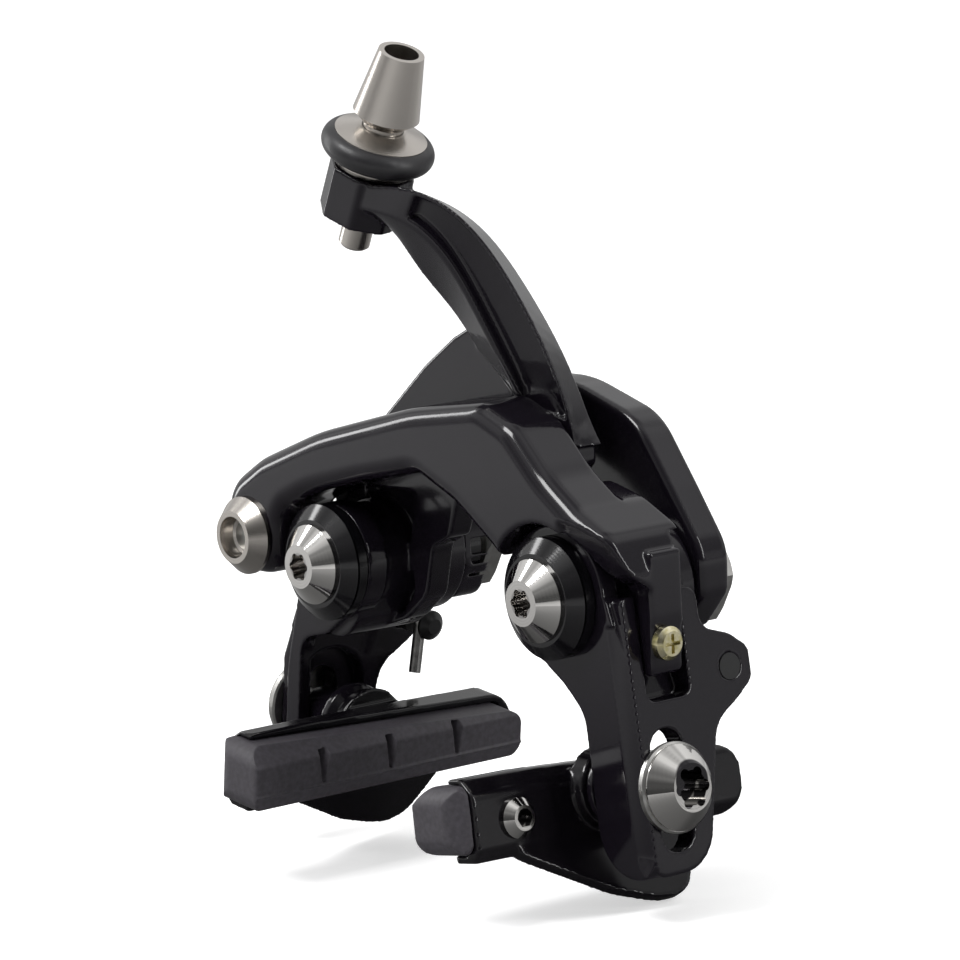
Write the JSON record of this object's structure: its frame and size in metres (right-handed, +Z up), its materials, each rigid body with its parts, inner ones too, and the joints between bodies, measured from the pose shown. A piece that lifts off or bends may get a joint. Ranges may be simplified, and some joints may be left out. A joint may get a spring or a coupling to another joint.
{
  "type": "direct mount rim brake caliper",
  "caption": "Dual pivot rim brake caliper on two frame bolts, with linked arms, slotted shoe legs, pads, return springs, cable anchor and barrel adjuster.",
  "frame": {"origin": "midway between the two mount bolts, in the plane of the nuts' rear faces that meet the frame", "axes": "+X to the right seen from the front, +Y back along the bolts into the frame, +Z up towards the cable adjuster"},
  "size_m": [0.1045, 0.0605, 0.1345],
  "materials": {
    "black_paint": "gloss black paint on forged aluminium",
    "black_anodised": "black anodised, turned",
    "polished_steel": "polished plated steel",
    "satin_silver": "satin turned",
    "plain_steel": "zinc plated",
    "bearing_steel": "ground",
    "spring_steel": "drawn wire",
    "yellow_zinc": "yellow zinc plated",
    "black_plastic": "moulded",
    "ring_rubber": "moulded rubber",
    "pad_rubber": "moulded rubber, matt"
  },
  "bodies": {
    "frame_stack": {"bridge_plate": "black_paint", "mount_bolt_left": "polished_steel", "bolt_collar_left": "black_anodised", "pivot_bush_left": "bearing_steel", "spacer_washer_left": "black_anodised", "mount_nut_left": "plain_steel", "return_spring_left": "spring_steel", "mount_bolt_right": "polished_steel", "bolt_collar_right": "black_anodised", "pivot_bush_right": "bearing_steel", "spacer_washer_right": "black_anodised", "mount_nut_right": "plain_steel", "return_spring_right": "spring_steel"},
    "adjuster_side": {"adjuster_arm": "black_paint", "spring_holder_left": "black_plastic"},
    "adjuster_wheel": {"adjuster_knob": "satin_silver", "grip_ring": "ring_rubber"},
    "cable_stop": {"cable_stem": "satin_silver"},
    "anchor_side": {"anchor_arm": "black_paint", "anchor_nut": "satin_silver", "anchor_bolt": "plain_steel", "anchor_washer": "plain_steel", "roller_pin": "plain_steel"},
    "roller": {"link_roller": "plain_steel"},
    "centering": {"centering_screw": "yellow_zinc"},
    "shoe_leg": {"right_leg": "black_paint", "spring_holder_right": "black_plastic"},
    "shoe_seat_left": {"shoe_bolt_left": "polished_steel", "shoe_washer_left": "polished_steel", "domed_washer_left": "black_anodised"},
    "shoe_left": {"pad_holder_left": "black_paint", "brake_pad_left": "pad_rubber", "pad_screw_left": "polished_steel"},
    "shoe_seat_right": {"shoe_bolt_right": "polished_steel", "shoe_washer_right": "polished_steel", "domed_washer_right": "black_anodised"},
    "shoe_right": {"pad_holder_right": "black_paint", "brake_pad_right": "pad_rubber", "pad_screw_right": "polished_steel"}
  },
  "joints": [
    {"name": "adjuster_arm_swing", "type": "hinge", "parent": "frame_stack", "child": "adjuster_side", "pos_m": [-0.028, -0.02, 0], "axis": [0, -1, 0], "range_deg": [0, 11], "stiffness_Nm_per_rad": 0.5, "springref_deg": -40.11, "deforming": ["return_spring_left"]},
    {"name": "anchor_arm_swing", "type": "hinge", "parent": "frame_stack", "child": "anchor_side", "pos_m": [0.028, -0.02, 0], "axis": [0, 1, 0], "range_deg": [0, 11], "stiffness_Nm_per_rad": 0.5, "springref_deg": -40.11, "deforming": ["return_spring_right"]},
    {"name": "adjuster_wheel_turn", "type": "hinge", "parent": "adjuster_side", "child": "adjuster_wheel", "pos_m": [-0.01009, -0.03, 0.06906], "axis": [0.4305, 0, 0.9026], "range_deg": [0, 2160]},
    {"name": "cable_stop_slide", "type": "slide", "parent": "adjuster_side", "child": "cable_stop", "axis": [0.4305, 0, 0.9026], "range_m": [0, 0.006]},
    {"name": "roller_spin", "type": "hinge", "parent": "anchor_side", "child": "roller", "pos_m": [0.0124, -0.0201, 0.0215], "axis": [0, 1, 0], "continuous": true},
    {"name": "centering_turn", "type": "hinge", "parent": "anchor_side", "child": "centering", "pos_m": [0.0454, -0.0232, -0.0062], "axis": [1, 0, 0], "range_deg": [-180, 180]},
    {"name": "shoe_leg_trim", "type": "hinge", "parent": "anchor_side", "child": "shoe_leg", "pos_m": [0.028, -0.02, 0], "axis": [0, 1, 0], "range_deg": [-1.8, 1.8]},
    {"name": "shoe_height_left", "type": "slide", "parent": "adjuster_side", "child": "shoe_seat_left", "axis": [0.1392, 0, 0.9903], "range_m": [-0.009, 0.004]},
    {"name": "shoe_tilt_left", "type": "hinge", "parent": "shoe_seat_left", "child": "shoe_left", "pos_m": [-0.04569, -0.0234, -0.0267], "axis": [0.9903, 0, -0.1392], "range_deg": [-8, 8]},
    {"name": "shoe_height_right", "type": "slide", "parent": "shoe_leg", "child": "shoe_seat_right", "axis": [-0.1392, 0, 0.9903], "range_m": [-0.0069, 0.006]},
    {"name": "shoe_tilt_right", "type": "hinge", "parent": "shoe_seat_right", "child": "shoe_right", "pos_m": [0.04598, -0.0234, -0.02878], "axis": [0.9903, 0, 0.1392], "range_deg": [-8, 8]}
  ],
  "couplings": [
    {"joint": "anchor_arm_swing", "follows": "adjuster_arm_swing", "ratio": 1},
    {"joint": "adjuster_wheel_turn", "follows": "cable_stop_slide", "rad_per_m": 6283},
    {"joint": "centering_turn", "follows": "shoe_leg_trim", "ratio": 99.9}
  ]
}
